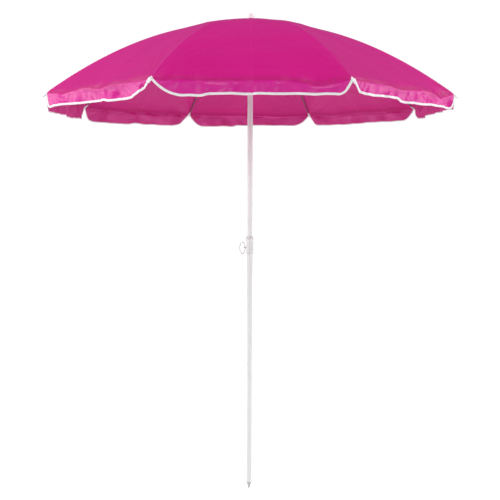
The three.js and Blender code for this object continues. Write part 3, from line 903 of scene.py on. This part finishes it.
def flap_grid(k, u):
    """Points of a whole flap in its panel's frame, from the fold down, and its flat map."""
    rng = np.random.default_rng(300 + k)
    out, down = rim_line(k, u)
    length = np.maximum(flap_drop(k, u) - down, 1.0 * MM)
    s = np.linspace(0, 1, FLAP_ROWS)[:, None] ** 0.9 * length
    across = np.broadcast_to(u, s.shape)
    t = HALF_RIM - np.abs(u)
    free = eased(s, 14) * eased(t, 45)
    hang = waves(rng, across, (190, 105, 62), 2.4 * MM * RUFFLES[k])
    hang = hang * (s / VALANCE_DROP) * eased(t, 60)
    inside = HALF_RIM - 20 * MM
    folds = creases(rng, across, -s, 12, inside, VALANCE_DROP, (35, 80), (12, 24), (2.6, 4.6))
    folds += creases(rng, across, -s, 34, inside, VALANCE_DROP, (12, 34), (3.5, 8), (0.9, 2.2))
    puckers = waves(rng, across, (10, 15, 24), 0.45 * MM) * np.exp(-(length - s) / (13 * MM))
    folds += puckers * smooth(0.5 + waves(rng, across, (120, 70), 0.7))
    tilt = 0.06 + waves(rng, across, (240, 130, 75), 0.13)
    bulge = 2.2 * MM * np.sin(np.clip(s / (14 * MM), 0, 1) * math.pi) * eased(t, 30)
    x = CANOPY_R * math.cos(SECTOR / 2) + out + hang + folds * free * RUFFLES[k] + bulge
    x = x - tilt * s * eased(t, 40)
    z = RIM_Z - down - s * (1 - 0.5 * tilt**2)
    return np.stack([x, across, z], -1), np.stack([across, -s], -1)


def grid_normals(points):
    """Unit normals of a grid of points, away from the canopy's inside."""
    down, over = np.gradient(points, axis=0), np.gradient(points, axis=1)
    normal = np.cross(down, over)
    normal /= np.maximum(np.linalg.norm(normal, axis=-1, keepdims=True), 1e-12)
    return np.where(normal[..., 2:] + 0.5 * normal[..., :1] < 0, -normal, normal)


def cloth_piece(name, outer, inner, flat):
    """A thin closed sheet from its two faces' grids. Material 0 is outside, 1 inside."""
    rows, columns = outer.shape[:2]
    points = np.concatenate([outer.reshape(-1, 3), inner.reshape(-1, 3)])
    uv = np.concatenate([flat.reshape(-1, 2)] * 2)
    index = np.arange(rows * columns).reshape(rows, columns)
    under = index + rows * columns
    faces, slots = [], []
    for grid, slot in ((index, 0), (under[:, ::-1], 1)):
        quads = np.stack([grid[:-1, :-1], grid[1:, :-1], grid[1:, 1:], grid[:-1, 1:]], -1).reshape(-1, 4)
        faces += quads.tolist()
        slots += [slot] * len(quads)
    edge = np.concatenate([index[0, :-1], index[:-1, -1], index[-1, :0:-1], index[:0:-1, 0]])
    ahead = np.roll(edge, -1)
    far = rows * columns
    faces += np.stack([edge, ahead, ahead + far, edge + far], -1).tolist()
    slots += [0] * len(edge)
    return outwards(make(name, points, faces, [OUTER, INNER], 60, slots, uv))


def halves(k):
    """Each half of panel k: its word, its columns, its rib and the direction away from that rib."""
    second = k % GORES + 1
    first_side = turned([0, 1, 0], rib_azimuth(k))
    second_side = turned([0, -1, 0], rib_azimuth(second))
    return (("left", slice(0, COLUMNS + 1), k, first_side),
            ("right", slice(COLUMNS, 2 * COLUMNS + 1), second, second_side))


def both_faces(points, azimuth):
    """The outer and the inner face of a cloth, from its inner face in a panel's frame."""
    outer = points + grid_normals(points) * CLOTH
    return turned(outer, azimuth), turned(points, azimuth)


def make_panel(k):
    """Both halves of a panel, of its flap and of the flap's binding."""
    azimuth = rib_azimuth(k) + SECTOR / 2
    points, flat = panel_grid(k)
    outer, inner = both_faces(points, azimuth)
    u = panel_columns() * HALF_RIM
    drops = flap_drop(k, u)
    flap_points, flap_flat = flap_grid(k, u)
    flap_outer, flap_inner = both_faces(flap_points, azimuth)
    for word, part, rib, side in halves(k):
        body = f"panel_{k}_{word}"
        piece = cloth_piece(f"canopy_{k}_{word}", outer[:, part], inner[:, part], flat[:, part])
        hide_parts(body)
        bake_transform(piece)
        flap = cloth_piece(f"flap_{k}_{word}", flap_outer[:, part], flap_inner[:, part], flap_flat[:, part])
        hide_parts(f"valance_{k}_{word}")
        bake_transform(flap)
        make_binding(k, word, flap_points[:, part], grid_normals(flap_points)[:, part], azimuth)


def make_binding(k, word, points, normals, azimuth):
    """White tape folded over the flap's lower edge: wide outside, narrow inside."""
    edge = points[-1]
    normal = normals[-1]
    run = np.gradient(edge, axis=0)
    run /= np.linalg.norm(run, axis=1)[:, None]
    up = np.cross(run, normal)
    up /= np.linalg.norm(up, axis=1)[:, None]
    up = np.where(up[:, 2:] < 0, -up, up)
    normal = np.cross(up, run) * np.sign((np.cross(up, run) * normal).sum(1))[:, None]
    length = np.concatenate([[0], np.cumsum(np.linalg.norm(np.diff(edge, axis=0), axis=1))])
    section = mm((0.62, 7.0), (1.15, 6.9), (1.35, 5.4), (1.4, 2.6), (1.3, 0.2), (0.9, -0.6), (0.25, -0.85),
                 (-0.45, -0.6), (-0.85, 0.1), (-0.9, 2.2), (-0.75, 3.8), (-0.12, 3.9), (-0.16, -0.15),
                 (0.56, -0.15))
    uv = [(x, b) for x in length for a, b in section]
    edge, normal, up = (turned(v, azimuth) for v in (edge, normal, up))
    tape = sweep(f"binding_{k}_{word}", edge, normal, up, section, [TAPE], 50, uv)
    finish(tape, f"valance_{k}_{word}", "white_trim")


def rib_slope(r):
    """How steeply the plain canopy falls along a rib."""
    return RIM_SLOPE * (r / CANOPY_R) ** (CURVE - 1)


def surface_beside_rib(r, y):
    """Height of the plain canopy at radius r up a rib and y to one side of it."""
    return canopy_z(r) - np.abs(y) * math.tan(SECTOR / 2) * rib_slope(r)


def seam_points(radii, drift):
    """The felled seam's strip in a rib's frame, in rows of one profile, and its flat map."""
    profile = mm((-3.9, 0.35), (-3.5, 0.95), (-1.6, 1.15), (0, 1.25), (1.6, 1.15), (3.5, 0.95),
                 (3.9, 0.35), (0, 0.2))
    points, uv = [], []
    for r, d in zip(radii, drift):
        for y, height in profile:
            points.append((r, y + d, float(surface_beside_rib(r, y)) + height))
            uv.append((y, 0.1 + (CANOPY_R - r)))
    return points, uv, len(profile)


def stitch_points(radii, drift):
    """Two rows of stitches along a seam, in a rib's frame: a small spindle each, and its faces."""
    spindle = mm((-1.5, 0, 0), (0, -0.38, 0.05), (0, 0, 0.42), (0, 0.38, 0.05), (1.5, 0, 0), (0, 0, -0.2),
                 at=(0, 0, 0))
    sides = ((0, 1, 2), (0, 2, 3), (0, 3, 5), (0, 5, 1), (4, 2, 1), (4, 3, 2), (4, 5, 3), (4, 1, 5))
    row, pitch = 2.7 * MM, 4.4 * MM
    points, faces = [], []
    for y in (-row, row):
        for r in np.arange(30 * MM, RIB_END - 4 * MM, pitch):
            rise = float(surface_beside_rib(r, y)) + 1.05 * MM
            faces += [tuple(len(points) + corner for corner in side) for side in sides]
            wander = y + float(np.interp(r, radii, drift))
            points += [(r + a, wander + b, rise - a * rib_slope(r) + c) for a, b, c in spindle]
    return points, faces


def make_seam(k):
    """The felled seam over a rib, with its two rows of stitches."""
    azimuth = rib_azimuth(k)
    radii = np.concatenate([np.linspace(26 * MM, 60 * MM, 6), np.linspace(72 * MM, RIB_END, 110)])
    drift = waves(np.random.default_rng(700 + k), radii, (90, 40), 0.25 * MM)
    points, uv, m = seam_points(radii, drift)
    faces = [(i * m + a, i * m + (a + 1) % m, (i + 1) * m + (a + 1) % m, (i + 1) * m + a)
             for i in range(len(radii) - 1) for a in range(m)]
    faces += [tuple(range(m)), tuple(range((len(radii) - 1) * m, len(radii) * m))]
    seam = outwards(make("seam", turned(points, azimuth), faces, [OUTER], 60, uv=uv))
    points, faces = stitch_points(radii, drift)
    uv = np.full((len(points), 2), 0.3)  # far from the fold, so of one colour
    stitches = make("stitches", turned(points, azimuth), faces, [OUTER], 180, uv=uv)
    finish(joined(f"seam_{k}", [seam, stitches]), f"rib_{k}", "canopy_cloth")


def make_crown_patch():
    """The round cloth patch under the knob, with a ring of stitches pressed into it."""
    profile_r = np.array([4.0, 8, 12, 15, 18, 19.5, 21, 23, 24.5]) * MM
    above = np.array([0.4, 0.4, 0.5, 0.65, 0.95, 0.8, 1.0, 0.95, 0.7]) * MM
    height = canopy_z(profile_r) + above
    under = height - 0.6 * MM
    profile = list(zip(profile_r, height)) + list(zip(profile_r[::-1], under[::-1]))
    patch = lathe("crown_patch", profile, OUTER, 96)
    layer = patch.data.uv_layers.new(name="flat")
    for loop in patch.data.loops:
        co = patch.data.vertices[loop.vertex_index].co
        layer.data[loop.index].uv = (co.x, 0.3 + co.y)
    finish(patch, "upper_pole", "canopy_cloth")


# ---- stage ----
FLOOR_GLOW = 0.33  # light that the floor gives off, apart from what the camera sees of it
FLOOR_HALF = 40
SKY = ((0.0, 0.8), (0.12, 0.74), (0.32, 0.12), (1.0, 0.12))  # by height on the sphere: brightness
BACKDROP = 1.05  # brightness of the sky that the camera sees
TOP_BOX, SIDE_BOX, END_BOX = (1.8, 1.8), (1.6, 2.4), (1.6, 1.6)  # width and height
# Each lamp: its name, place, size and watts. The back ones leave no gloss on the cloth.
LAMPS = (("top_left", (-2.3, -0.6, 4.2), TOP_BOX, 70), ("top_right", (2.3, -0.6, 4.2), TOP_BOX, 61),
         ("left_box", (-3.6, 0, 1.5), SIDE_BOX, 44), ("right_box", (3.6, 0, 1.5), SIDE_BOX, 36),
         ("front_left", (-2.4, -4.6, 2.6), END_BOX, 43), ("front_right", (2.4, -4.6, 2.6), END_BOX, 37),
         ("back_left", (-2.4, 4.2, 2.6), END_BOX, 60), ("back_right", (2.4, 4.2, 2.6), END_BOX, 60))
LAMP_AIM = 0.45  # how far above the part's middle the lamps point
CAMERA_DISTANCE, CAMERA_HEIGHT = 2.954, 1.335
CAMERA_AZIMUTH, CAMERA_ROLL = math.radians(-0.39), math.radians(-0.2)
FOCAL_MM, SENSOR_MM, LENS_SHIFT = 51.26, 36, -0.1648


def make_floor():
    """A pale floor that runs to the horizon."""
    f = FLOOR_HALF
    floor = make("floor", [(-f, -f, -MM), (f, -f, -MM), (f, f, -MM), (-f, f, -MM)], [(0, 1, 2, 3)], [])
    nodes = Nodes("pale_floor", (0.75, 0.75, 0.75), 0.9)
    nodes.set(**{"Emission Color": (1, 1, 1, 1), "Specular IOR Level": 0.0})
    seen = nodes.add("LightPath").outputs["Is Camera Ray"]
    nodes.link(nodes.between(seen, 0, 1, FLOOR_GLOW, 1.0), "Emission Strength")
    floor.data.materials.append(nodes.material)


def make_world():
    """Soft light all round, brightest near the horizon, and a white backdrop for the camera."""
    world = bpy.data.worlds.new("studio")
    bpy.context.scene.world = world
    world.use_nodes = True
    tree = world.node_tree
    add, link = tree.nodes.new, tree.links.new
    sky = tree.nodes["Background"]
    place = add("ShaderNodeTexCoord")
    parts = add("ShaderNodeSeparateXYZ")
    ramp = add("ShaderNodeValToRGB")
    link(place.outputs["Generated"], parts.inputs[0])
    link(parts.outputs["Z"], ramp.inputs[0])
    link(ramp.outputs[0], sky.inputs["Color"])
    for _ in SKY[2:]:
        ramp.color_ramp.elements.new(0.5)
    for element, (at, level) in zip(ramp.color_ramp.elements, SKY):
        element.position = at
        element.color = (level, level, level, 1)
    backdrop = add("ShaderNodeBackground")
    backdrop.inputs["Color"].default_value = (1, 1, 1, 1)
    backdrop.inputs["Strength"].default_value = BACKDROP
    path = add("ShaderNodeLightPath")
    mix = add("ShaderNodeMixShader")
    link(path.outputs["Is Camera Ray"], mix.inputs[0])
    link(sky.outputs[0], mix.inputs[1])
    link(backdrop.outputs[0], mix.inputs[2])
    link(mix.outputs[0], tree.nodes["World Output"].inputs["Surface"])


def placed(name, data, location):
    """An object in the scene for a lamp or a camera."""
    holder = bpy.data.objects.new(name, data)
    holder.location = location
    bpy.context.scene.collection.objects.link(holder)
    return holder


def make_lamps():
    """Soft boxes above and on all sides, aimed at the canopy."""
    aim = Vector((0, 0, (CAD_BOX[0].z + CAD_BOX[1].z) / 2 + LAMP_AIM))
    for name, place, size, power in LAMPS:
        lamp = bpy.data.lights.new(name, "AREA")
        lamp.shape = "RECTANGLE"
        lamp.size, lamp.size_y = size
        lamp.energy = power
        holder = placed(name, lamp, place)
        holder.rotation_euler = (aim - holder.location).to_track_quat("-Z", "Y").to_euler()
        holder.visible_camera = False
        holder.visible_glossy = not name.startswith("back")


def make_camera():
    """A level camera in front of the umbrella."""
    camera = bpy.data.cameras.new("camera")
    camera.sensor_width = SENSOR_MM
    camera.lens = FOCAL_MM
    camera.shift_y = LENS_SHIFT
    camera.clip_end = 100
    turn = CAMERA_AZIMUTH
    place = (CAMERA_DISTANCE * math.sin(turn), -CAMERA_DISTANCE * math.cos(turn), CAMERA_HEIGHT)
    holder = placed("camera", camera, place)
    holder.rotation_euler = (math.pi / 2, CAMERA_ROLL, turn)
    bpy.context.scene.camera = holder
    bpy.context.scene.view_settings.view_transform = "Standard"


make_floor()
make_world()
make_lamps()
make_camera()
make_poles()
make_spike()
make_collar()
make_thumb_ring()
make_finial()
make_crown()
make_runner()
dress_small_parts()
for number in range(1, GORES + 1):
    make_rib(number)
    make_stretcher(number)
    make_rivet(number)
    make_tip(number)
for number in range(1, GORES + 1):
    make_panel(number)
    make_seam(number)
make_crown_patch()
